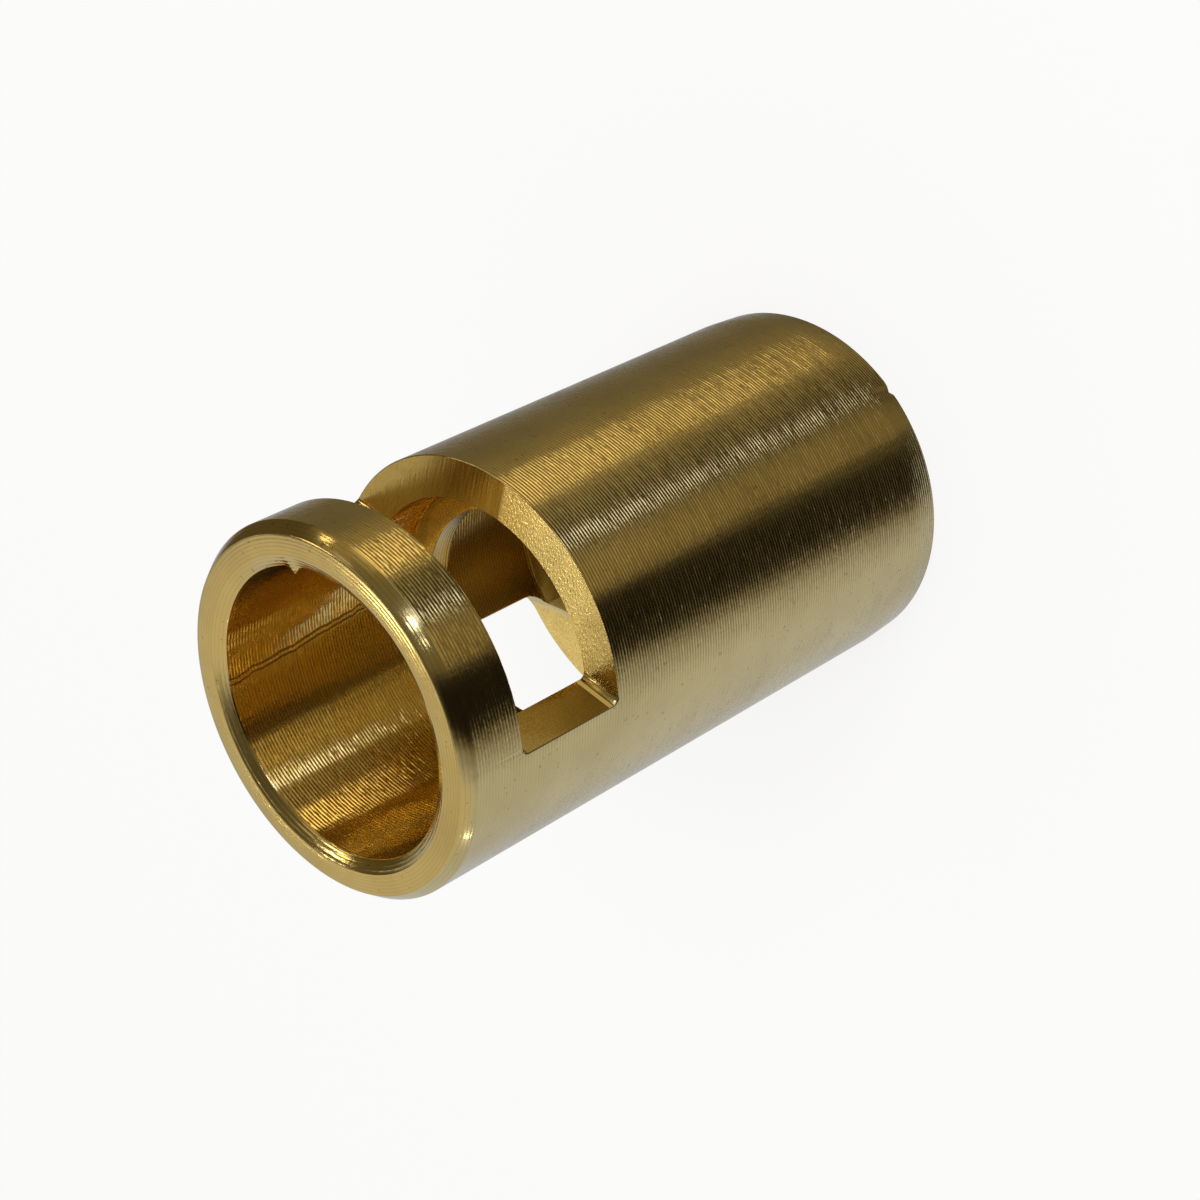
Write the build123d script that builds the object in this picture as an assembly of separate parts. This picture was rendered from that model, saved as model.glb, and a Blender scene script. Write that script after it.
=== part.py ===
from build123d import *
import os

# Throttle valve bushing, turned from brass bar and milled with two cross openings.
# Millimetres. +Z is the axis and points to the ring end. The bushing stands on its plain
# end, with its origin at the centre of that end's face.

# Turned outside
outer_diameter = 16.0
overall_length = 28.9
ring_chamfer_length = 0.54
ring_chamfer_depth = 0.39
lead_taper_length = 1.6
lead_taper_depth = 0.1

# Front bore, which opens in the ring end
front_bore_diameter = 12.35
front_bore_depth = 10.5
mouth_chamfer_length = 0.3
mouth_chamfer_depth = 0.53

# Valve bore, the same size in both lands
valve_bore_diameter = 9.9
front_land_length = 1.1
plain_end_chamfer = 0.3

# Annular groove between the two lands
groove_diameter = 13.8
groove_length = 6.4
groove_corner_radius = 0.15

# Cross slot behind the ring, with a flat floor above the axis
ring_length = 3.0
slot_width = 5.3
slot_floor_height = 2.2
slot_corner_radius = 0.3

# Port opposite the slot, cut into the groove by a disc cutter
port_overlap = 0.2
port_depth_from_axis = 4.15
port_cutter_radius = 14.0
port_corner_radius = 1.2

# Amount by which the cutting shapes run past the part
run_out = 1.0

# Distances from the ring face, measured along the bushing
outer_radius = outer_diameter / 2
slot_front = ring_length
slot_rear = slot_front + slot_width
groove_front = front_bore_depth + front_land_length
groove_rear = groove_front + groove_length
port_front = groove_front - port_overlap
port_rear = groove_rear + port_overlap


def height(distance_from_ring_face):
    """Z of a plane given by its distance from the ring face."""
    return overall_length - distance_from_ring_face


def turned_outside():
    """The bar's profile: chamfered ring end, straight barrel, slight lead taper at the plain end."""
    profile = Polyline(
        (0, 0),
        (outer_radius - lead_taper_depth, 0),
        (outer_radius, lead_taper_length),
        (outer_radius, height(ring_chamfer_length)),
        (outer_radius - ring_chamfer_depth, overall_length),
        (0, overall_length),
        close=True,
    )
    return revolve(make_face(Plane.XZ * profile), Axis.Z)


def turned_inside():
    """Front bore with its shoulder, valve bore through both lands, and the chamfers at both mouths."""
    front_radius = front_bore_diameter / 2
    valve_radius = valve_bore_diameter / 2
    profile = Polyline(
        (0, 0),
        (valve_radius + plain_end_chamfer, 0),
        (valve_radius, plain_end_chamfer),
        (valve_radius, height(front_bore_depth)),
        (front_radius, height(front_bore_depth)),
        (front_radius, height(mouth_chamfer_length)),
        (front_radius + mouth_chamfer_depth, overall_length),
        (0, overall_length),
        close=True,
    )
    return revolve(make_face(Plane.XZ * profile), Axis.Z)


def annular_groove():
    """Groove turned between the lands, with a small radius in each corner."""
    groove = Pos(0, 0, height(groove_rear)) * Cylinder(
        groove_diameter / 2, groove_length, align=(Align.CENTER, Align.CENTER, Align.MIN)
    )
    return fillet(groove.edges().filter_by(GeomType.CIRCLE), groove_corner_radius)


def cross_slot():
    """Milled slot that opens towards -Y, with a flat floor and a small radius along each floor corner."""
    reach = outer_radius + run_out
    slot = Pos(0, -slot_floor_height, height(slot_rear)) * Box(
        2 * reach, reach - slot_floor_height, slot_width, align=(Align.CENTER, Align.MAX, Align.MIN)
    )
    floor_edges = slot.edges().filter_by(Axis.X).group_by(Axis.Y)[-1]
    return fillet(floor_edges, slot_corner_radius)


def port():
    """Disc-cutter cut from +Y: plane side walls and a floor curved to the cutter, radiused at the rim."""
    cutter = Pos(0, port_depth_from_axis + port_cutter_radius, height(port_rear)) * Cylinder(
        port_cutter_radius, port_rear - port_front, align=(Align.CENTER, Align.CENTER, Align.MIN)
    )
    return fillet(cutter.edges().filter_by(GeomType.CIRCLE), port_corner_radius)


def valve_bushing():
    """The whole bushing as one solid."""
    return turned_outside() - turned_inside() - annular_groove() - cross_slot() - port()


os.makedirs("parts", exist_ok=True)
bushing = valve_bushing()
export_step(bushing, "parts/valve_bushing.step")
print("volume mm3", round(bushing.volume, 2), "solids", len(bushing.solids()))
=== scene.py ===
"""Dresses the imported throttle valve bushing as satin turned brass, on a plain pale floor."""

import math
import random

import bmesh
import bpy
from bpy.props import FloatProperty, FloatVectorProperty, IntProperty, PointerProperty
from mathutils import Matrix, Vector


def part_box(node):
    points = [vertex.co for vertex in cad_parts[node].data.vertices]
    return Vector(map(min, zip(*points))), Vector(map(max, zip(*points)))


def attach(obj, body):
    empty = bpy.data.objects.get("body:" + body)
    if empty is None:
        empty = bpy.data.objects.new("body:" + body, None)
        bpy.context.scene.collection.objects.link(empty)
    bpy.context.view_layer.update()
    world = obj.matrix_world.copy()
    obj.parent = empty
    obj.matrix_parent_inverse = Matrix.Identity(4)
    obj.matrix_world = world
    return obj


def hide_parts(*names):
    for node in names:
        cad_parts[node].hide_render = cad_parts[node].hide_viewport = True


bl_info = {
    "name": "Throttle valve bushing",
    "version": (1, 0, 0),
    "blender": (4, 5, 0),
    "location": "3D View > Sidebar > Bushing",
    "description": "Finishes the packed bushing as turned and milled brass and sets its stage",
    "category": "Object",
}

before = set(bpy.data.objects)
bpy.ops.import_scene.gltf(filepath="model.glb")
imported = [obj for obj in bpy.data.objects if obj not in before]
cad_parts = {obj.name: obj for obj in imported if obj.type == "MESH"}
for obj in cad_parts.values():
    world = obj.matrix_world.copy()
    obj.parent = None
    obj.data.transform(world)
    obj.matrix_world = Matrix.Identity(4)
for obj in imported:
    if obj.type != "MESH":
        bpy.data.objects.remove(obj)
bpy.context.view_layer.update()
NODE = "valve_bushing"
LOWEST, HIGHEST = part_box(NODE)
MM = 0.001

# Distance under which two places count as the same, and the angle from which an edge is sharp
TINY = 1e-6
SHARP = math.radians(25)

# Noise in the metal, in waves a metre
TURNED_GRAIN = 9000.0
TORN_GRAIN = 11500.0
COMBED_GRAIN = 8000.0
PITS = 4500.0
AXIAL_WAVES = 2400.0
SCORE_WAVES = 900.0
SPECKLE_CLOUDS = 700.0
TARNISH_CLOUDS = 330.0

# Noise along the spiral of the turning marks, in waves a turn
TORN_FACETS = 90.0
SWELLS = 9.3


class BushingSizes(bpy.types.PropertyGroup):
    """Sizes of the bushing's form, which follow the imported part."""

    overall_length: FloatProperty(
        name="Overall length", description="From the plain end to the ring end",
        default=HIGHEST.z - LOWEST.z, unit="LENGTH", precision=5)
    outer_diameter: FloatProperty(
        name="Outer diameter", description="Across the barrel",
        default=16.0 * MM, unit="LENGTH", precision=5)
    ring_chamfer_length: FloatProperty(
        name="Ring chamfer length", description="Outer chamfer of the ring end, along the axis",
        default=0.54 * MM, unit="LENGTH", precision=5)
    ring_chamfer_depth: FloatProperty(
        name="Ring chamfer depth", description="Outer chamfer of the ring end, across the axis",
        default=0.39 * MM, unit="LENGTH", precision=5)
    lead_taper_length: FloatProperty(
        name="Lead taper length", description="Slight taper at the plain end, along the axis",
        default=1.6 * MM, unit="LENGTH", precision=5)
    lead_taper_depth: FloatProperty(
        name="Lead taper depth", description="Slight taper at the plain end, across the axis",
        default=0.1 * MM, unit="LENGTH", precision=5)
    front_bore_diameter: FloatProperty(
        name="Front bore", description="Diameter of the bore that opens in the ring end",
        default=12.35 * MM, unit="LENGTH", precision=5)
    front_bore_depth: FloatProperty(
        name="Front bore depth", description="From the ring face to the shoulder",
        default=10.5 * MM, unit="LENGTH", precision=5)
    mouth_chamfer_length: FloatProperty(
        name="Mouth chamfer length",
        description="Chamfer of the front bore's mouth, along the axis",
        default=0.3 * MM, unit="LENGTH", precision=5)
    mouth_chamfer_depth: FloatProperty(
        name="Mouth chamfer depth",
        description="Chamfer of the front bore's mouth, across the axis",
        default=0.53 * MM, unit="LENGTH", precision=5)
    valve_bore_diameter: FloatProperty(
        name="Valve bore", description="Diameter of the bore through both lands",
        default=9.9 * MM, unit="LENGTH", precision=5)
    front_land_length: FloatProperty(
        name="Front land", description="Length of the land between the shoulder and the groove",
        default=1.1 * MM, unit="LENGTH", precision=5)
    plain_end_chamfer: FloatProperty(
        name="Plain end chamfer", description="Chamfer of the valve bore at the plain end",
        default=0.3 * MM, unit="LENGTH", precision=5)
    groove_diameter: FloatProperty(
        name="Groove diameter", description="Across the annular groove between the lands",
        default=13.8 * MM, unit="LENGTH", precision=5)
    groove_length: FloatProperty(
        name="Groove length", description="Annular groove, along the axis",
        default=6.4 * MM, unit="LENGTH", precision=5)
    groove_corner_radius: FloatProperty(
        name="Groove corner", description="Radius in the groove's two corners",
        default=0.15 * MM, unit="LENGTH", precision=5)
    ring_length: FloatProperty(
        name="Ring length", description="From the ring face to the cross slot",
        default=3.0 * MM, unit="LENGTH", precision=5)
    slot_width: FloatProperty(
        name="Slot width", description="Cross slot, along the axis",
        default=5.3 * MM, unit="LENGTH", precision=5)
    slot_floor_height: FloatProperty(
        name="Slot floor height", description="From the axis to the slot's flat floor",
        default=2.2 * MM, unit="LENGTH", precision=5)
    slot_corner_radius: FloatProperty(
        name="Slot corner", description="Radius along each of the slot's floor corners",
        default=0.3 * MM, unit="LENGTH", precision=5)
    port_overlap: FloatProperty(
        name="Port overlap", description="How far the port runs past the groove at each end",
        default=0.2 * MM, unit="LENGTH", precision=5)
    port_depth_from_axis: FloatProperty(
        name="Port depth", description="From the axis to the deepest line of the port's floor",
        default=4.15 * MM, unit="LENGTH", precision=5)
    port_cutter_radius: FloatProperty(
        name="Port cutter radius", description="Radius of the disc that cuts the port",
        default=14.0 * MM, unit="LENGTH", precision=5)
    port_corner_radius: FloatProperty(
        name="Port corner", description="Radius of the cutter's rim",
        default=1.2 * MM, unit="LENGTH", precision=5)
    edge_break: FloatProperty(
        name="Edge break", description="Width of the small flat left on each sharp edge",
        default=0.045 * MM, unit="LENGTH", precision=6)
    edge_wear: FloatProperty(
        name="Edge wear", description="How far the slot's edges wander",
        default=0.014 * MM, unit="LENGTH", precision=6)
    burr_place: FloatProperty(
        name="Burr place", description="Burr on the bore's mouth, from -Y towards -X",
        default=math.radians(-28.5), subtype="ANGLE")
    burr_width: FloatProperty(
        name="Burr width", description="Burr on the bore's mouth, along the edge",
        default=0.85 * MM, unit="LENGTH", precision=5)
    burr_reach: FloatProperty(
        name="Burr reach", description="How far the burr stands into the bore",
        default=0.34 * MM, unit="LENGTH", precision=5)
    burr_root: FloatProperty(
        name="Burr root", description="How far down the bore the burr begins",
        default=0.16 * MM, unit="LENGTH", precision=5)
    nick_place: FloatProperty(
        name="Nick place", description="Nick in the plain end's outer edge, from -Y towards -X",
        default=math.radians(26.5), subtype="ANGLE")
    nick_depth: FloatProperty(
        name="Nick depth", description="Nick in the plain end's outer edge",
        default=0.12 * MM, unit="LENGTH", precision=5)
    steps_round: IntProperty(
        name="Steps round", description="Flats round the bushing", default=216, min=48, max=360)


class BrassFinish(bpy.types.PropertyGroup):
    """Colours and tool marks of the brass, with the lighter and darker colours that paint light
    and shade.
    """

    brass_colour: FloatVectorProperty(
        name="Brass", description="Colour of the clean metal",
        default=(0.74, 0.58, 0.25), subtype="COLOR", min=0.0, max=1.0)
    # Painted shade as well: besides clouds of dulled metal, this colour paints the slot's rear
    # wall darker towards both ends
    tarnish_and_shade_colour: FloatVectorProperty(
        name="Tarnish", description="Colour of the slightly dulled metal",
        default=(0.52, 0.39, 0.15), subtype="COLOR", min=0.0, max=1.0)
    # Painted light: a lighter brass for the milled walls that face the ring end
    lit_wall_colour: FloatVectorProperty(
        name="Bright brass", description="Colour of the freshly cut metal",
        default=(0.94, 0.73, 0.29), subtype="COLOR", min=0.0, max=1.0)
    # Painted light: a lighter copy of the brass for the inside of the bores
    lit_bore_colour: FloatVectorProperty(
        name="Bore brass", description="Colour of the clean metal inside the bores",
        default=(0.94, 0.70, 0.24), subtype="COLOR", min=0.0, max=1.0)
    # Brown colour that paints shade on the lands and the groove's walls, a darker reflection on
    # the slot's rear wall, and the score lines
    stain_and_shade_colour: FloatVectorProperty(
        name="Stain", description="Colour of the brown film that the cutter left",
        default=(0.30, 0.19, 0.042), subtype="COLOR", min=0.0, max=1.0)
    outside_pitch: FloatProperty(
        name="Outside feed", description="Feed a turn of the marks on the turned outside",
        default=0.157 * MM, unit="LENGTH", precision=6)
    bore_pitch: FloatProperty(
        name="Bore feed", description="Feed a turn of the marks in the bores",
        default=0.157 * MM, unit="LENGTH", precision=6)
    facing_pitch: FloatProperty(
        name="Facing feed", description="Feed a turn of the marks on the end faces and chamfers",
        default=0.15 * MM, unit="LENGTH", precision=6)
    score_place: FloatProperty(
        name="Score place",
        description="Double score along the front bore, round from +X towards +Y",
        default=math.radians(23.0), subtype="ANGLE")
    score_length: FloatProperty(
        name="Score length", description="From the ring face to where the score fades",
        default=8.5 * MM, unit="LENGTH", precision=5)
    score_gap: FloatProperty(
        name="Score gap", description="Between the two lines of the score",
        default=0.24 * MM, unit="LENGTH", precision=6)
    score_slant: FloatProperty(
        name="Score slant",
        description="How far the score runs round for each length down the bore",
        default=0.08)
    # Painted light and shade: the slot's rear wall is painted brightest here and darker towards
    # both ends
    wall_light_middle: FloatProperty(
        name="Cutter middle", description="Where the slot's rear wall is brightest, along X",
        default=-3.4 * MM, unit="LENGTH", precision=5)
    ridge_width: FloatProperty(
        name="Ridge width", description="Pale ridge that the cutter left on the slot's floor",
        default=0.22 * MM, unit="LENGTH", precision=6)


class StageSettings(bpy.types.PropertyGroup):
    """Floor, lamps and camera."""

    floor_colour: FloatVectorProperty(
        name="Floor", description="Colour of the floor", default=(0.9, 0.9, 0.9),
        subtype="COLOR", min=0.0, max=1.0)
    floor_radius: FloatProperty(
        name="Floor radius", description="From the bushing to the floor's edge",
        default=1.5, unit="LENGTH", precision=3)
    floor_whiteness: FloatProperty(
        name="Floor whiteness", description="Share of plain white in what is seen of the floor",
        default=0.8, subtype="FACTOR", min=0.0, max=1.0)
    world_colour: FloatVectorProperty(
        name="World", description="Colour of the soft light from all round",
        default=(1.0, 0.97, 0.92), subtype="COLOR", min=0.0, max=1.0)
    world_strength: FloatProperty(
        name="World strength", description="Strength of the soft light from all round",
        default=0.6, min=0.0)
    overhead_place: FloatVectorProperty(
        name="Overhead lamp", description="Place of the soft lamp overhead",
        default=(-0.10, -0.25, 0.55), subtype="TRANSLATION", precision=3)
    overhead_size: FloatProperty(
        name="Overhead size", description="Side of the square lamp overhead",
        default=0.30, unit="LENGTH", precision=3)
    overhead_power: FloatProperty(
        name="Overhead power", description="Power of the lamp overhead",
        default=1.6, unit="POWER", min=0.0)
    dome_radius: FloatProperty(
        name="Dome radius", description="From the bushing to the light dome's panels",
        default=0.8, unit="LENGTH", precision=3)
    camera_azimuth: FloatProperty(
        name="Camera azimuth", description="Side that the camera looks from; 0 looks along +Y",
        default=math.radians(-37.39), subtype="ANGLE")
    camera_elevation: FloatProperty(
        name="Camera elevation", description="Height of the camera over the horizon",
        default=math.radians(39.81), subtype="ANGLE")
    camera_roll: FloatProperty(
        name="Camera roll", description="Turn of the picture about the view axis",
        default=math.radians(-117.22), subtype="ANGLE")
    camera_distance: FloatProperty(
        name="Camera distance", description="From the aim to the camera",
        default=110.81 * MM, unit="LENGTH", precision=5)
    camera_aim: FloatVectorProperty(
        name="Camera aim", description="Point that the camera looks at",
        default=(-0.68 * MM, 0.52 * MM, 13.71 * MM), subtype="TRANSLATION", precision=6)
    camera_lens: FloatProperty(
        name="Camera lens", description="Focal length on a 36 mm sensor",
        default=78.06, unit="CAMERA")


def height_of(sizes, distance_from_ring_face):
    """Height of a plane given by its distance from the ring face."""
    return sizes.overall_length - distance_from_ring_face


def corner_arc(centre, radius, start, end, steps=4):
    """Points of a small arc in the section, as (radius, height) pairs."""
    return [
        (centre[0] + radius * math.cos(math.radians(start + (end - start) * i / steps)),
         centre[1] + radius * math.sin(math.radians(start + (end - start) * i / steps)))
        for i in range(steps + 1)
    ]


def wall_section(sizes):
    """Section of the turned wall, as (radius, height) pairs from the plain end's outer edge."""
    outer = sizes.outer_diameter / 2
    front = sizes.front_bore_diameter / 2
    valve = sizes.valve_bore_diameter / 2
    groove = sizes.groove_diameter / 2
    corner = sizes.groove_corner_radius
    length = sizes.overall_length
    shoulder = height_of(sizes, sizes.front_bore_depth)
    groove_top = shoulder - sizes.front_land_length
    groove_bottom = groove_top - sizes.groove_length
    return [
        (outer - sizes.lead_taper_depth, 0.0),
        (outer, sizes.lead_taper_length),
        (outer, length - sizes.ring_chamfer_length),
        (outer - sizes.ring_chamfer_depth, length),
        (front + sizes.mouth_chamfer_depth, length),
        (front, length - sizes.mouth_chamfer_length),
        (front, length - sizes.mouth_chamfer_length - sizes.burr_root),
        (front, shoulder),
        (valve, shoulder),
        (valve, groove_top),
        *corner_arc((groove - corner, groove_top - corner), corner, 90, 0),
        *corner_arc((groove - corner, groove_bottom + corner), corner, 0, -90),
        (valve, groove_bottom),
        (valve, sizes.plain_end_chamfer),
        (valve + sizes.plain_end_chamfer, 0.0),
    ]


def linked(name, data):
    """A new object of this mesh, lamp or camera in the scene."""
    made = bpy.data.objects.new(name, data)
    bpy.context.scene.collection.objects.link(made)
    return made


def from_bmesh(name, shape, *materials):
    """A new object made from a bmesh, which is freed."""
    bmesh.ops.remove_doubles(shape, verts=shape.verts, dist=TINY / 10)
    bmesh.ops.recalc_face_normals(shape, faces=shape.faces)
    mesh = bpy.data.meshes.new(name)
    shape.to_mesh(mesh)
    shape.free()
    for material in materials:
        mesh.materials.append(material)
    return linked(name, mesh)


def turned_blank(sizes, material):
    """The wall's section spun all the way round."""
    shape = bmesh.new()
    corners = [shape.verts.new((radius, 0.0, height)) for radius, height in wall_section(sizes)]
    sides = [shape.edges.new(pair) for pair in zip(corners, corners[1:] + corners[:1])]
    bmesh.ops.spin(
        shape, geom=corners + sides, cent=(0, 0, 0), axis=(0, 0, 1), dvec=(0, 0, 0),
        angle=2 * math.pi, steps=sizes.steps_round, use_merge=True, use_duplicate=False)
    return from_bmesh("bushing_body", shape, material)


def slot_cutter(sizes, material):
    """Block that cuts the cross slot, with rounded floor corners."""
    reach = sizes.outer_diameter
    floor = -sizes.slot_floor_height
    top = height_of(sizes, sizes.ring_length)
    shape = bmesh.new()
    bmesh.ops.create_cube(shape, size=1.0)
    bmesh.ops.scale(shape, verts=shape.verts, vec=(2 * reach, reach, sizes.slot_width))
    bmesh.ops.translate(
        shape, verts=shape.verts, vec=(0.0, floor - reach / 2, top - sizes.slot_width / 2))
    floor_edges = [
        edge for edge in shape.edges
        if all(abs(vert.co.y - floor) < TINY for vert in edge.verts)
        and abs(edge.verts[0].co.x - edge.verts[1].co.x) > reach
    ]
    bmesh.ops.bevel(
        shape, geom=floor_edges, affect="EDGES", offset=sizes.slot_corner_radius,
        offset_type="OFFSET", segments=6, profile=0.5, material=-1)
    return from_bmesh("slot_cutter", shape, material)


def port_cutter(sizes, material):
    """Disc that cuts the port, with a rounded rim."""
    groove_top = height_of(sizes, sizes.front_bore_depth + sizes.front_land_length)
    bottom = groove_top - sizes.groove_length - sizes.port_overlap
    thickness = sizes.groove_length + 2 * sizes.port_overlap
    centre = Vector((0.0, sizes.port_depth_from_axis + sizes.port_cutter_radius, bottom))
    shape = bmesh.new()
    bmesh.ops.create_cone(
        shape, cap_ends=True, cap_tris=False, segments=288, radius1=sizes.port_cutter_radius,
        radius2=sizes.port_cutter_radius, depth=thickness)
    bmesh.ops.translate(shape, verts=shape.verts, vec=centre + Vector((0, 0, thickness / 2)))
    rim = [edge for edge in shape.edges if any(len(face.verts) > 4 for face in edge.link_faces)]
    bmesh.ops.bevel(
        shape, geom=rim, affect="EDGES", offset=sizes.port_corner_radius,
        offset_type="OFFSET", segments=10, profile=0.5, material=-1)
    return from_bmesh("port_cutter", shape, material)


def cut(body, cutter):
    """Cuts the cutter's shape out of the body, and deletes the cutter."""
    modifier = body.modifiers.new("Cut", "BOOLEAN")
    modifier.operation = "DIFFERENCE"
    modifier.solver = "EXACT"
    modifier.material_mode = "TRANSFER"
    modifier.object = cutter
    apply_modifiers(body)
    bpy.data.objects.remove(cutter)


def apply_modifiers(piece):
    """Replaces the piece's mesh by what its modifiers make of it."""
    seen = piece.evaluated_get(bpy.context.evaluated_depsgraph_get())
    mesh = bpy.data.meshes.new_from_object(seen)
    piece.modifiers.clear()
    old, piece.data = piece.data, mesh
    bpy.data.meshes.remove(old)


def break_edges(piece, width):
    """Leaves a small rounded flat on each sharp edge."""
    shape = bmesh.new()
    shape.from_mesh(piece.data)
    bmesh.ops.remove_doubles(shape, verts=shape.verts, dist=TINY)
    sharp = [e for e in shape.edges if e.is_manifold and e.calc_face_angle() > SHARP]
    bmesh.ops.bevel(
        shape, geom=sharp, affect="EDGES", offset=width, offset_type="OFFSET", segments=2,
        profile=0.5, material=-1, clamp_overlap=False)
    bmesh.ops.recalc_face_normals(shape, faces=shape.faces)
    for face in shape.faces:
        face.smooth = True
    shape.to_mesh(piece.data)
    shape.free()


def round_from_front(place):
    """Angle round the axis, from -Y towards -X."""
    return math.atan2(-place.x, -place.y)


def wear(piece, sizes):
    """Raises the burr on the bore's mouth, nicks the plain end and roughens the slot's edges."""
    front = sizes.front_bore_diameter / 2
    mouth = height_of(sizes, sizes.mouth_chamfer_length)
    outer = sizes.outer_diameter / 2 - sizes.lead_taper_depth
    near = 2 * sizes.edge_break
    half = sizes.burr_width / 2 / front
    step = 2 * math.pi / sizes.steps_round
    slot_finish = 1
    chance = random.Random(11)
    shape = bmesh.new()
    shape.from_mesh(piece.data)
    shape.normal_update()
    for vert in shape.verts:
        place = vert.co
        radius = math.hypot(place.x, place.y)
        inward = Vector((-place.x, -place.y, 0.0)).normalized()
        angle = round_from_front(place)
        if abs(radius - front) < near and abs(place.z - mouth) < near:
            share = max(0.0, 1.0 - abs(angle - sizes.burr_place) / half)
            vert.co += inward * sizes.burr_reach * share
        if abs(radius - outer) < near and place.z < near:
            share = max(0.0, 1.0 - abs(angle - sizes.nick_place) / (1.2 * step))
            vert.co += (inward + Vector((0, 0, 0.5))) * sizes.nick_depth * share
        kinds = {face.material_index for face in vert.link_faces}
        if slot_finish in kinds and len(kinds) > 1:
            vert.co -= vert.normal * chance.uniform(0.0, sizes.edge_wear)
    shape.to_mesh(piece.data)
    shape.free()


class NodeTree:
    """Adds shader nodes to a tree in few words."""

    def __init__(self, tree):
        self.tree = tree
        self.column = 0

    def add(self, kind, inputs=(), **settings):
        """A node with its settings, and its inputs given as sockets or plain values."""
        node = self.tree.nodes.new(kind)
        self.column += 1
        node.location = (180 * (self.column % 12), -220 * (self.column // 12))
        for name, value in settings.items():
            setattr(node, name, value)
        for key, value in dict(inputs).items():
            if isinstance(value, bpy.types.NodeSocket):
                self.tree.links.new(value, node.inputs[key])
            else:
                node.inputs[key].default_value = value
        return node

    def math(self, operation, a, b=0.0, c=0.0):
        """The result of a number operation."""
        return self.add("ShaderNodeMath", {0: a, 1: b, 2: c}, operation=operation).outputs[0]

    def vector(self, operation, a, b=(0, 0, 0)):
        """The result of a vector operation."""
        second = "Scale" if operation == "SCALE" else 1
        node = self.add("ShaderNodeVectorMath", {0: a, second: b}, operation=operation)
        return node.outputs["Value" if operation == "LENGTH" else "Vector"]

    def noise(self, vector, scale, detail=2.0, roughness=0.5):
        """Soft noise from 0 to 1."""
        node = self.add(
            "ShaderNodeTexNoise",
            {"Vector": vector, "Scale": scale, "Detail": detail, "Roughness": roughness})
        return node.outputs[0]

    def noise_along(self, value, scale, detail):
        """Soft noise from 0 to 1 along a single value."""
        node = self.add(
            "ShaderNodeTexNoise",
            {"W": self.math("MULTIPLY", value, scale), "Scale": 1.0, "Detail": detail},
            noise_dimensions="1D")
        return node.outputs[0]

    def both_ways(self, value):
        """A value from 0 to 1 carried to -1 to 1."""
        return self.math("MULTIPLY_ADD", value, 2.0, -1.0)

    def remap(self, value, low, high, to_low=0.0, to_high=1.0):
        """The value carried from one range to another, and held there."""
        node = self.add(
            "ShaderNodeMapRange", {0: value, 1: low, 2: high, 3: to_low, 4: to_high}, clamp=True)
        return node.outputs[0]

    def into_world(self, way, kind):
        """A direction of this kind carried from the object's space to the world's."""
        node = self.add(
            "ShaderNodeVectorTransform", {0: way}, vector_type=kind,
            convert_from="OBJECT", convert_to="WORLD")
        return node.outputs[0]

    def mix_colour(self, amount, a, b):
        """Colour a where amount is 0, and b where it is 1."""
        node = self.add("ShaderNodeMix", data_type="RGBA")
        for key, value in (("Factor_Float", amount), ("A_Color", a), ("B_Color", b)):
            socket = next(s for s in node.inputs if s.identifier == key)
            if isinstance(value, bpy.types.NodeSocket):
                self.tree.links.new(value, socket)
            else:
                socket.default_value = value
        return next(s for s in node.outputs if s.identifier == "Result_Color")


def opaque(colour):
    """A colour with its alpha."""
    return (*colour, 1.0)


def new_material(name):
    """An empty node material, and its tree."""
    material = bpy.data.materials.new(name)
    material.use_nodes = True
    material.node_tree.nodes.clear()
    return material, NodeTree(material.node_tree)


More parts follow.
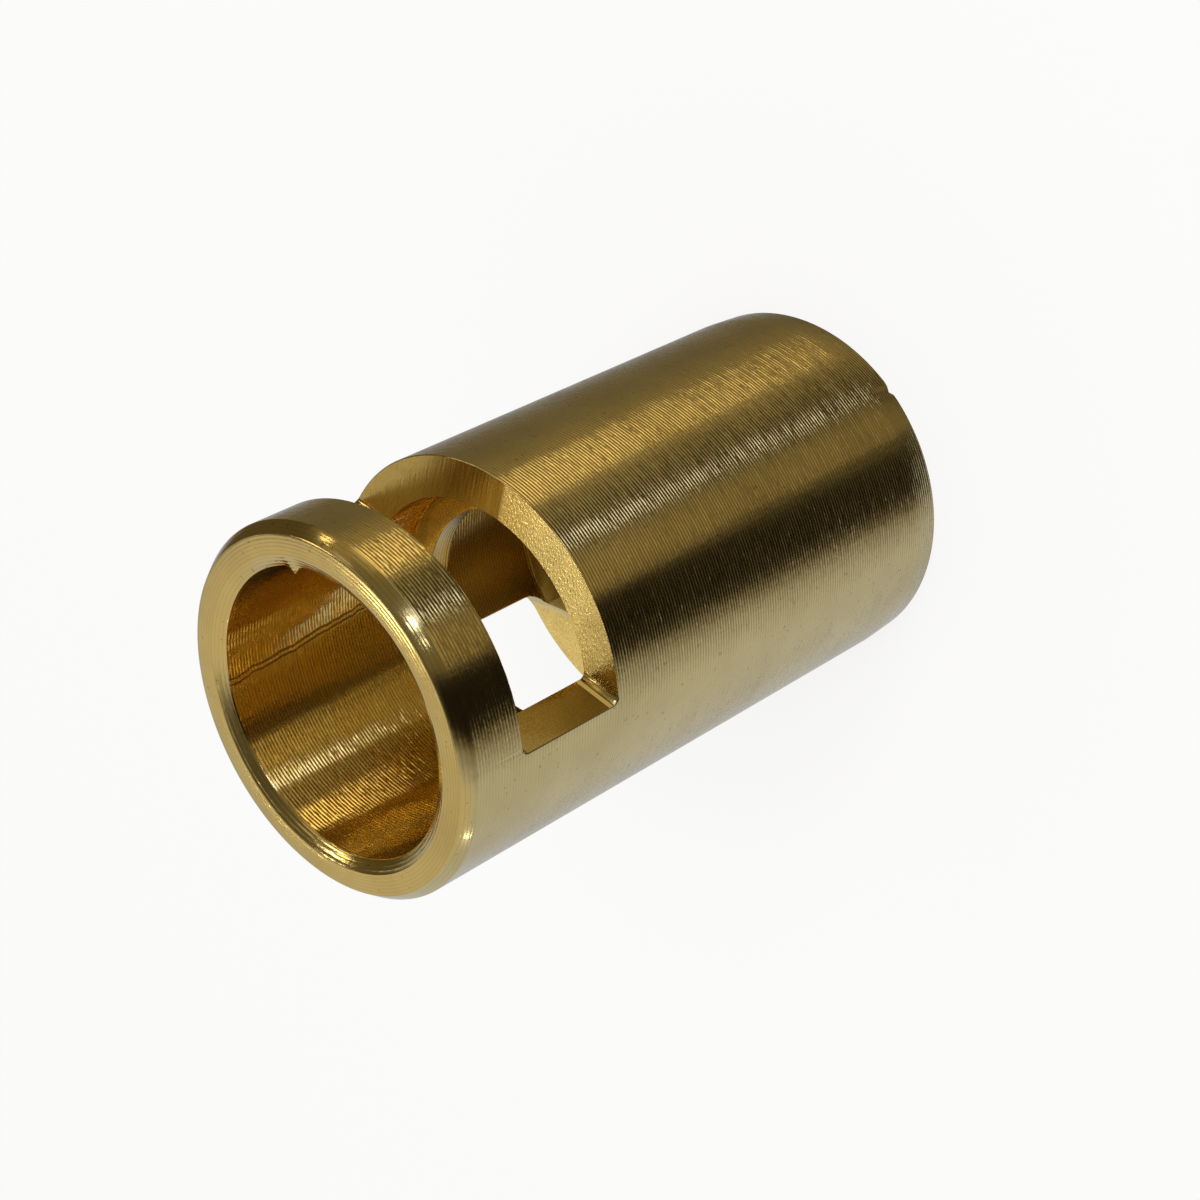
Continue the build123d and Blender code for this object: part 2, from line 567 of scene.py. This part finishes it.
def turned_brass(
        name, finish, pitch, slope, roughness, stretch, wobble, darkening=0.0, film_and_shade=0.0, streaks=0.03,
        grit=0.5, bias=0.0, clean=False, scored=False, soft_ring=False):
    """Brass with the spiral marks of a lathe tool, on walls, cones and end faces alike.

    slope is the tilt of a mark's flanks, stretch spreads the gloss across the marks, and wobble is
    how uneven they are. darkening is the share of darker metal all over, which inside the groove
    and on the lands paints shade, film_and_shade the share of brown colour, which paints shade on
    the lands and the groove's walls, streaks the tilt of the waves along it, grit the share of
    fine grain in the unevenness, and bias a tilt that all marks share. A clean surface takes a
    lighter copy of the brass, which paints light in the bores, and a scored one has a double score
    line. A soft ring has shallower marks near the ring end.
    """
    material, make = new_material(name)
    place = make.add("ShaderNodeTexCoord")
    point = make.add("ShaderNodeMapping", {"Vector": place.outputs["Object"]}).outputs[0]
    normal = place.outputs["Normal"]
    x, y, z = make.add("ShaderNodeSeparateXYZ", {0: point}).outputs
    across = make.add("ShaderNodeCombineXYZ", {0: x, 1: y}).outputs[0]
    radius = make.vector("LENGTH", across)
    round_way = make.vector("CROSS_PRODUCT", (0, 0, 1), make.vector("NORMALIZE", across))
    along = make.vector("NORMALIZE", make.vector("CROSS_PRODUCT", normal, round_way))

    # The spiral: how many turns lie between this point and the start, and where in its mark it is
    upward = make.math("ABSOLUTE", make.add("ShaderNodeSeparateXYZ", {0: normal}).outputs[2])
    faced = make.math("GREATER_THAN", upward, 0.75)
    run = make.math("MULTIPLY_ADD", faced, make.math("SUBTRACT", radius, z), z)
    angle = make.math("ARCTAN2", y, x)
    turn = make.math("DIVIDE", angle, 2 * math.pi)
    count = make.math("ADD", make.math("DIVIDE", run, pitch), turn)
    phase = make.math("FRACT", count)
    centred = make.both_ways(phase)
    spiral = make.math("SUBTRACT", make.math("FLOOR", count), turn)

    # Uneven depth along the spiral, and short torn facets that catch the light
    track = make.add("ShaderNodeCombineXYZ", {
        0: make.math("MULTIPLY", spiral, TORN_FACETS),
        1: make.math("MULTIPLY", phase, 1.7)}).outputs[0]
    torn = make.add(
        "ShaderNodeTexNoise", {"Vector": track, "Scale": 1.0, "Detail": 2.0, "Roughness": 0.6},
        noise_dimensions="2D").outputs[0]
    torn = make.both_ways(torn)
    depth = make.remap(make.noise_along(spiral, SWELLS, 2.0), 0.3, 0.7, 0.75, 1.2)
    if soft_ring:
        within_slot = HIGHEST.z - 4.5 * MM
        shallower = make.remap(z, within_slot, within_slot + MM, 1.0, 0.55)
        depth = make.math("MULTIPLY", depth, shallower)
    lean = make.both_ways(make.noise(point, TURNED_GRAIN, 1.0))
    cube = make.math("MULTIPLY", make.math("MULTIPLY", torn, torn), torn)
    tilt = make.math("MULTIPLY_ADD", make.math("MULTIPLY", centred, depth), slope, bias)
    tilt = make.math("MULTIPLY_ADD", torn, wobble, tilt)
    tilt = make.math("MULTIPLY_ADD", cube, 9.0 * wobble, tilt)
    tilt = make.math("MULTIPLY_ADD", lean, grit * wobble, tilt)

    # Faint waves that run along the axis
    drawn_out = make.vector("MULTIPLY", point, (1.0, 1.0, 0.05))
    wave = make.both_ways(make.noise(drawn_out, AXIAL_WAVES, 3.0, 0.6))
    side = make.math("MULTIPLY", lean, 0.7 * grit * wobble)
    side = make.math("MULTIPLY_ADD", wave, streaks, side)
    scratch = 0.0
    if scored:
        score_tilt, scratch = score(make, finish, angle, radius, z)
        side = make.math("ADD", side, score_tilt)
    bent = make.vector("ADD", normal, make.vector("SCALE", along, tilt))
    bent = make.vector("ADD", bent, make.vector("SCALE", round_way, side))
    bent = make.into_world(make.vector("NORMALIZE", bent), "NORMAL")
    tangent = make.into_world(along, "VECTOR")

    # Colour: soft clouds of darker metal, which inside the groove also paint shade, small dark
    # pits, darker edges to each mark, and brown colour that paints shade and marks the score
    cloud = make.noise(point, TARNISH_CLOUDS, 3.0, 0.55)
    clouds_and_shade = make.remap(cloud, 0.35, 0.75, darkening, darkening + 0.45)
    pits = make.remap(make.noise(point, PITS, 0.0), 0.77, 0.82, 0.0, 0.9)
    # Darker towards the edge of each mark
    edge = make.remap(make.math("ABSOLUTE", centred), 0.7, 1.0, 0.0, 0.45)
    dulled = make.math("MINIMUM", make.math("ADD", make.math("ADD", clouds_and_shade, pits), edge), 1.0)
    metal, darker_metal = finish.brass_colour, finish.tarnish_and_shade_colour
    # Painted light: the bores take a lighter copy of the brass, which darkens towards the outside
    # brass
    if clean:
        metal, darker_metal = finish.lit_bore_colour, finish.brass_colour
    colour = make.mix_colour(dulled, opaque(metal), opaque(darker_metal))
    # Painted shade: brown colour on the lands and the groove's walls, and on the score
    if film_and_shade or scored:
        shade_and_score = make.math("MULTIPLY_ADD", scratch, 0.7, film_and_shade)
        colour = make.mix_colour(shade_and_score, colour, opaque(finish.stain_and_shade_colour))
    rough = make.remap(cloud, 0.3, 0.8, roughness * 0.9, roughness * 1.15)
    shader = make.add("ShaderNodeBsdfPrincipled", {
        "Base Color": colour, "Metallic": 1.0, "Roughness": rough, "Normal": bent,
        "Anisotropic": stretch, "Tangent": tangent})
    make.add("ShaderNodeOutputMaterial", {"Surface": shader.outputs[0]})
    return material


def score(make, finish, angle, radius, z):
    """Two wandering score lines along the bore, as their sideways tilt and as a mask."""
    wander = 0.3 * MM
    flank = 0.06 * MM
    inner_edge, outer_edge = 0.035 * MM, 0.075 * MM
    steepness = 0.32
    depth = make.math("SUBTRACT", HIGHEST.z, z)
    away = make.math("MULTIPLY", make.math("SUBTRACT", angle, finish.score_place), radius)
    away = make.math("MULTIPLY_ADD", depth, finish.score_slant, away)
    away = make.math("MULTIPLY_ADD", make.noise_along(z, SCORE_WAVES, 3.0), wander, away)
    end = HIGHEST.z - finish.score_length
    fade = make.remap(z, end - wander, end + wander)
    tilt, mask = 0.0, 0.0
    for offset in (0.0, finish.score_gap):
        across = make.math("SUBTRACT", away, wander / 2 + offset)
        lean = make.remap(across, -flank, flank, -1.0, 1.0)
        inside = make.remap(make.math("ABSOLUTE", across), inner_edge, outer_edge, 1.0, 0.0)
        inside = make.math("MULTIPLY", inside, fade)
        tilt = make.math("MULTIPLY_ADD", make.math("MULTIPLY", lean, inside), steepness, tilt)
        mask = make.math("ADD", inside, mask)
    return tilt, mask


def milled_brass(name, finish, film_and_shade=0.0, ridge=0.0):
    """Brass as a cutter left it: a glittering torn grain, and straight marks under a brown colour
    that paints a darker reflection.

    film_and_shade is the share of brown colour on the wall where one pass of the cutter ended,
    which paints a darker reflection there, and of the painted shade towards both ends of the wall.
    Where there is some, there is also a pale ridge along the floor, and ridge is the height of its
    foot.
    The walls facing the ring end take a lighter brass, which paints light on them.
    """
    material, make = new_material(name)
    place = make.add("ShaderNodeTexCoord")
    point = make.add("ShaderNodeMapping", {"Vector": place.outputs["Object"]}).outputs[0]
    normal = place.outputs["Normal"]
    x, y, z = make.add("ShaderNodeSeparateXYZ", {0: point}).outputs

    # One side of the rear wall carries straight marks under brown colour that paints a darker
    # reflection, and the rest is torn and painted lighter
    upward = make.add("ShaderNodeSeparateXYZ", {0: normal}).outputs[2]
    wall = make.math("GREATER_THAN", upward, 0.9)
    combed_and_shaded = make.math("MULTIPLY", wall, make.remap(x, -0.08 * MM, 0.07 * MM, 0.0, film_and_shade))
    # Painted shade: the brown colour fades further along X
    shade_fade = make.remap(x, 2.7 * MM, 4.4 * MM, 1.0, 0.5)
    grain = make.noise(make.vector("MULTIPLY", point, (1.0, 0.5, 1.0)), TORN_GRAIN, 1.0, 0.6)
    comb = make.noise(make.vector("MULTIPLY", point, (1.0, 0.04, 0.04)), COMBED_GRAIN, 2.0)
    height = make.add(
        "ShaderNodeMix", {0: combed_and_shaded, 2: grain, 3: comb}, data_type="FLOAT").outputs[0]
    height = make.math("MULTIPLY", height, make.math("MULTIPLY_ADD", wall, 0.8, 0.2))

    # The cutter's last pass left a low pale ridge along the floor, just before the rear corner
    step = make.remap(z, ridge, ridge + finish.ridge_width, 9.0 * film_and_shade, 0.0)
    step = make.math("MULTIPLY", step, make.math("LESS_THAN", upward, 0.35))
    step = make.math("MULTIPLY", step, make.math("LESS_THAN", x, 0.0))
    height = make.math("ADD", height, step)
    bump = make.add("ShaderNodeBump", {
        "Height": height, "Strength": 1.0, "Distance": 0.014 * MM, "Normal": normal})

    # Painted light and shade: the wall is painted brightest about its middle and darker towards
    # both its ends, and darker where the grain and clouds are
    from_middle = make.math("ABSOLUTE", make.math("SUBTRACT", x, finish.wall_light_middle))
    cloud = make.noise(point, SPECKLE_CLOUDS, 3.0, 0.55)
    dulled = make.math(
        "ADD", make.remap(from_middle, 1.2 * MM, 3.2 * MM, 0.1 * film_and_shade, 0.6 * film_and_shade),
        make.remap(grain, 0.5, 0.75, 0.0, 0.5))
    dulled = make.math("ADD", dulled, make.remap(cloud, 0.45, 0.75, 0.0, 0.3))
    dulled = make.math("MINIMUM", dulled, 1.0)
    # Painted light: the walls facing the ring end take the lighter brass, the floors the plain
    # brass
    bright = make.mix_colour(dulled, opaque(finish.lit_wall_colour), opaque(finish.tarnish_and_shade_colour))
    colour = make.mix_colour(wall, opaque(finish.brass_colour), bright)
    # Painted shade: brown colour on the marked side of the wall, as a darker reflection
    colour = make.mix_colour(
        make.math("MULTIPLY", combed_and_shaded, shade_fade), colour, opaque(finish.stain_and_shade_colour))
    rough = make.math("MULTIPLY_ADD", wall, 0.07, make.remap(grain, 0.3, 0.7, 0.12, 0.18))
    shader = make.add("ShaderNodeBsdfPrincipled", {
        "Base Color": colour, "Metallic": 1.0, "Roughness": rough,
        "Normal": bump.outputs[0]})
    make.add("ShaderNodeOutputMaterial", {"Surface": shader.outputs[0]})
    return material


def turned_zone(face, sizes):
    """Name of the finish on a turned face."""
    place, normal = face.center, face.normal
    radius = math.hypot(place.x, place.y)
    inward = normal.x * place.x + normal.y * place.y < 0
    slanted = abs(normal.z) > 0.3
    level = abs(normal.z) > 0.9
    mouth = sizes.front_bore_diameter / 2 + sizes.mouth_chamfer_depth
    shoulder = height_of(sizes, sizes.front_bore_depth)
    if abs(place.z - shoulder) < 10 * TINY:
        return "shoulder"
    if TINY < place.z < shoulder and radius < sizes.groove_diameter / 2 + TINY:
        if slanted:
            return "side" if place.z > sizes.plain_end_chamfer else "chamfered"
        return "land" if radius < sizes.valve_bore_diameter / 2 + TINY else "groove"
    if slanted and normal.z > 0 and radius < mouth and place.z > shoulder:
        return "mouth"
    if slanted:
        return "faced" if level else "chamfered"
    return "bored" if inward else "outside"


class BUSHING_OT_body(bpy.types.Operator):
    """Spins the bushing's wall, cuts its two openings and gives it its brass"""

    bl_idname = "bushing.make_body"
    bl_label = "Make the bushing"

    def execute(self, context):
        sizes = context.scene.bushing_sizes
        finish = context.scene.brass_finish
        slot_rear = height_of(sizes, sizes.ring_length + sizes.slot_width)
        finishes = {
            "outside": turned_brass(
                "Turned brass", finish, finish.outside_pitch, slope=0.26, roughness=0.17,
                stretch=0.2, wobble=0.08, soft_ring=True),
            # The slot's rear wall carries painted light and shade, and both milled walls a lighter
            # brass that paints light
            "slot": milled_brass(
                "Milled brass", finish, film_and_shade=1.0, ridge=slot_rear + sizes.slot_corner_radius),
            "port": milled_brass("Port brass", finish),
            # clean=True gives the inside of the bore a lighter copy of the brass, which paints
            # light there
            "bored": turned_brass(
                "Bored brass", finish, finish.bore_pitch, slope=0.26, roughness=0.16,
                stretch=0.75, wobble=0.12, streaks=0.08, grit=0.1, clean=True, scored=True),
            "shoulder": turned_brass(
                "Shoulder brass", finish, finish.facing_pitch, slope=0.06, roughness=0.2,
                stretch=0.3, wobble=0.02, grit=0.2, clean=True),
            # Inside the groove and on the lands, darkening and film_and_shade paint shade
            "groove": turned_brass(
                "Groove brass", finish, finish.bore_pitch, slope=0.30, roughness=0.22,
                stretch=0.6, wobble=0.06, darkening=0.3, grit=0.3, clean=True),
            "side": turned_brass(
                "Groove side brass", finish, finish.facing_pitch, slope=0.05, roughness=0.2,
                stretch=0.3, wobble=0.02, darkening=0.8, film_and_shade=0.7, grit=0.3, bias=0.3, clean=True),
            "land": turned_brass(
                "Land brass", finish, finish.bore_pitch, slope=0.28, roughness=0.22,
                stretch=0.6, wobble=0.06, darkening=0.8, film_and_shade=0.45, grit=0.3, clean=True),
            "faced": turned_brass(
                "Faced brass", finish, finish.facing_pitch, slope=0.13, roughness=0.18,
                stretch=0.3, wobble=0.03, darkening=0.25),
            "chamfered": turned_brass(
                "Chamfer brass", finish, finish.facing_pitch, slope=0.05, roughness=0.16,
                stretch=0.3, wobble=0.03),
            "mouth": turned_brass(
                "Mouth brass", finish, finish.facing_pitch, slope=0.15, roughness=0.16,
                stretch=0.2, wobble=0.045),
        }
        body = turned_blank(sizes, finishes["outside"])
        cut(body, slot_cutter(sizes, finishes["slot"]))
        cut(body, port_cutter(sizes, finishes["port"]))
        order = list(finishes)
        for key in order[len(body.data.materials):]:
            body.data.materials.append(finishes[key])
        for face in body.data.polygons:
            if face.material_index == 0:
                face.material_index = order.index(turned_zone(face, sizes))
        break_edges(body, sizes.edge_break)
        wear(body, sizes)
        weigh = body.modifiers.new("Even shading", "WEIGHTED_NORMAL")
        weigh.keep_sharp = True
        apply_modifiers(body)
        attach(body, "root")
        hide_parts(NODE)
        return {"FINISHED"}


class BUSHING_OT_stage(bpy.types.Operator):
    """Lays the pale floor and sets the lamps and the camera"""

    bl_idname = "bushing.make_stage"
    bl_label = "Make the stage"

    def execute(self, context):
        scene = context.scene
        stage = scene.stage_settings
        make_floor(stage)
        make_world(scene, stage)
        make_dome(stage)
        make_lamps(stage)
        make_camera(scene, stage)
        scene.view_settings.view_transform = "Standard"
        return {"FINISHED"}


def seen_directly(make):
    """1 for what the camera sees, by itself or in a reflection or through glass."""
    ray = make.add("ShaderNodeLightPath").outputs
    seen = make.math("MAXIMUM", ray["Is Camera Ray"], ray["Is Glossy Ray"])
    return make.math("MAXIMUM", seen, ray["Is Transmission Ray"])


def make_floor(stage):
    """A wide pale floor under the plain end."""
    material, make = new_material("Pale floor")
    lit = make.add("ShaderNodeBsdfDiffuse", {"Color": opaque(stage.floor_colour)})
    white = make.add("ShaderNodeEmission", {"Color": (1, 1, 1, 1), "Strength": 1.0})
    mixed = make.add("ShaderNodeMixShader", {
        0: make.math("MULTIPLY", seen_directly(make), stage.floor_whiteness),
        1: lit.outputs[0], 2: white.outputs[0]})
    make.add("ShaderNodeOutputMaterial", {"Surface": mixed.outputs[0]})
    shape = bmesh.new()
    bmesh.ops.create_circle(shape, cap_ends=True, segments=96, radius=stage.floor_radius)
    floor = from_bmesh("floor", shape, material)
    floor.visible_glossy = False
    floor.visible_shadow = False


def make_world(scene, stage):
    """Plain soft light from all round, which is seen as white."""
    world = bpy.data.worlds.new("Soft light")
    world.use_nodes = True
    world.node_tree.nodes.clear()
    make = NodeTree(world.node_tree)
    soft = make.add("ShaderNodeBackground", {
        "Color": opaque(stage.world_colour), "Strength": stage.world_strength})
    white = make.add("ShaderNodeBackground", {"Color": (1, 1, 1, 1), "Strength": 1.0})
    mixed = make.add("ShaderNodeMixShader", {
        0: seen_directly(make), 1: soft.outputs[0], 2: white.outputs[0]})
    make.add("ShaderNodeOutputWorld", {"Surface": mixed.outputs[0]})
    scene.world = world


# Panels of the light dome, each laid over those before it: two edges round the axis, from -Y
# towards -X, and their softness, two edges over the horizon and their softness, all in degrees,
# and the light
PANELS = (
    ((101, 240), 28, (-90, 66), 24, (0.56, 0.60, 0.69)),
    ((112, 236), 20, (16, 70), 20, (0.66, 0.61, 0.48)),
    ((-118, -62), 12, (-20, 70), 20, (0.10, 0.075, 0.033)),
    ((-58, -17), 10, (-90, 30), 4, (0.29, 0.23, 0.12)),
    ((-64, -39), 6, (32, 60), 8, (0.60, 0.52, 0.38)),
    ((-36, -20), 6, (0, 22), 6, (0.56, 0.48, 0.28)),
    ((-17, 14), 8, (-90, -31), 6, (0.06, 0.05, 0.032)),
    ((-17, 22), 8, (-27, 12), 8, (0.36, 0.32, 0.22)),
    ((22, 44), 8, (-90, 20), 30, (0.20, 0.16, 0.085)),
    ((22, 44), 8, (-27, 8), 8, (0.46, 0.38, 0.21)),
    ((47, 86), 9, (-90, 60), 20, (0.012, 0.009, 0.007)),
    ((47, 114), 16, (-90, -57), 10, (0.08, 0.07, 0.045)),
    ((-180, 180), 0, (72, 90), 20, (0.08, 0.07, 0.05)),
)

# Light of the dome beside the panels
SURROUND = (0.17, 0.145, 0.088)


def band(make, angle, limits, softness):
    """1 where the angle is between the limits and 0 outside, with soft edges."""
    middle = (limits[0] + limits[1]) / 2
    half = (limits[1] - limits[0]) / 2
    away = make.math("WRAP", make.math("SUBTRACT", angle, middle), 180.0, -180.0)
    away = make.math("ABSOLUTE", away)
    return make.remap(away, half - softness / 2, half + softness / 2 + 0.01, 1.0, 0.0)


def make_dome(stage):
    """A wide dome of soft panels round the bushing, which only the metal's reflections see."""
    material, make = new_material("Dome panels")
    point = make.add("ShaderNodeTexCoord").outputs["Object"]
    x, y, z = make.add("ShaderNodeSeparateXYZ", {0: make.vector("NORMALIZE", point)}).outputs
    around = make.math("ARCTAN2", make.math("MULTIPLY", x, -1.0), make.math("MULTIPLY", y, -1.0))
    around = make.math("DEGREES", around)
    over = make.math("DEGREES", make.math("ARCSINE", z))
    light = opaque(SURROUND)
    for sides, side_soft, ends, end_soft, colour in PANELS:
        share = make.math(
            "MULTIPLY", band(make, around, sides, side_soft), band(make, over, ends, end_soft))
        light = make.mix_colour(share, light, opaque(colour))
    glow = make.add("ShaderNodeEmission", {"Color": light, "Strength": 1.0})
    make.add("ShaderNodeOutputMaterial", {"Surface": glow.outputs[0]})
    material.cycles.emission_sampling = "NONE"
    shape = bmesh.new()
    bmesh.ops.create_icosphere(shape, subdivisions=4, radius=stage.dome_radius)
    dome = from_bmesh("light_dome", shape, material)
    dome.visible_camera = False
    dome.visible_diffuse = False
    dome.visible_shadow = False
    dome.visible_transmission = False


# Glossy strip lights: place round the axis and over the horizon, width and height, all in degrees,
# brightness and colour
STRIPS = (
    ("silver_strip", (13, 5), (8, 66), 1.4, (0.80, 0.92, 1.30)),
    ("gold_strip", (-27, -17), (22, 26), 1.3, (1.0, 0.82, 0.46)),
    ("gold_spark", (-53, 17), (3, 5), 6.0, (1.0, 0.86, 0.52)),
    ("white_spark", (13, 35), (6, 7), 7.0, (0.95, 1.0, 1.15)),
    ("second_spark", (26, 36), (3, 3), 7.0, (0.95, 1.0, 1.15)),
    ("low_spark", (138, 13), (3, 4), 7.0, (0.95, 1.0, 1.1)),
    ("mouth_spark", (-89, 50), (7, 9), 6.0, (1.0, 0.95, 0.85)),
    ("face_glow", (-134, 52), (5, 7), 10.0, (1.0, 0.92, 0.66)),
    ("groove_glow", (-78, 39), (10, 8), 3.5, (1.0, 0.80, 0.42)),
)


def make_lamps(stage):
    """One soft lamp overhead, and strips that only the metal shows."""
    side = stage.overhead_size
    overhead = lamp(
        "overhead", Vector(stage.overhead_place), side, side, stage.overhead_power, (1, 1, 1))
    overhead.visible_glossy = False
    reach = 0.5 * stage.dome_radius
    middle = Vector((0, 0, HIGHEST.z / 2))
    for name, (around, over), (wide, high), bright, colour in STRIPS:
        around, over = math.radians(around), math.radians(over)
        level = math.cos(over)
        way = Vector((-math.sin(around) * level, -math.cos(around) * level, math.sin(over)))
        width = 2 * reach * math.tan(math.radians(wide / 2))
        height = 2 * reach * math.tan(math.radians(high / 2))
        power = bright * math.pi * width * height
        strip = lamp(name, middle + reach * way, width, height, power, colour)
        strip.visible_diffuse = False


def lamp(name, place, width, height, power, colour):
    """A rectangular soft lamp that faces the middle of the bushing."""
    data = bpy.data.lights.new(name, "AREA")
    data.shape = "RECTANGLE"
    data.size, data.size_y = width, height
    data.energy = power
    data.color = colour
    made = linked(name, data)
    made.location = place
    made.visible_camera = False
    towards = Vector((0, 0, HIGHEST.z / 2)) - place
    made.rotation_euler = towards.to_track_quat("-Z", "Y").to_euler()
    return made


def make_camera(scene, stage):
    """The camera at the viewing angle of the reference."""
    around, up = stage.camera_azimuth, stage.camera_elevation
    back = Vector((
        math.sin(around) * math.cos(up), -math.cos(around) * math.cos(up), math.sin(up)))
    data = bpy.data.cameras.new("Camera")
    data.lens = stage.camera_lens
    data.sensor_width = 36.0
    data.clip_start = 5 * MM
    data.clip_end = 10.0
    camera = linked("Camera", data)
    turn = (-back).to_track_quat("-Z", "Y").to_matrix().to_4x4()
    roll = Matrix.Rotation(stage.camera_roll, 4, "Z")
    place = Matrix.Translation(Vector(stage.camera_aim) + back * stage.camera_distance)
    camera.matrix_world = place @ turn @ roll
    scene.camera = camera


class BUSHING_PT_panel(bpy.types.Panel):
    """Lists the bushing's steps and values"""

    bl_idname = "BUSHING_PT_panel"
    bl_label = "Valve bushing"
    bl_space_type = "VIEW_3D"
    bl_region_type = "UI"
    bl_category = "Bushing"

    def draw(self, context):
        layout = self.layout
        for operator in OPERATORS:
            layout.operator(operator.bl_idname)
        for group_name, group in GROUPS.items():
            box = layout.box()
            for name in group.__annotations__:
                box.prop(getattr(context.scene, group_name), name)


OPERATORS = (BUSHING_OT_body, BUSHING_OT_stage)
GROUPS = {
    "bushing_sizes": BushingSizes,
    "brass_finish": BrassFinish,
    "stage_settings": StageSettings,
}


def register():
    """Registers the value groups, the operators and the panel."""
    for name, group in GROUPS.items():
        bpy.utils.register_class(group)
        setattr(bpy.types.Scene, name, PointerProperty(type=group))
    for operator in OPERATORS:
        bpy.utils.register_class(operator)
    bpy.utils.register_class(BUSHING_PT_panel)


def unregister():
    """Takes out what register put in, in the opposite order."""
    bpy.utils.unregister_class(BUSHING_PT_panel)
    for operator in reversed(OPERATORS):
        bpy.utils.unregister_class(operator)
    for name, group in reversed(GROUPS.items()):
        delattr(bpy.types.Scene, name)
        bpy.utils.unregister_class(group)


def main():
    """Makes the bushing and its stage."""
    register()
    bpy.ops.bushing.make_body()
    bpy.ops.bushing.make_stage()


if __name__ == "__main__":
    main()
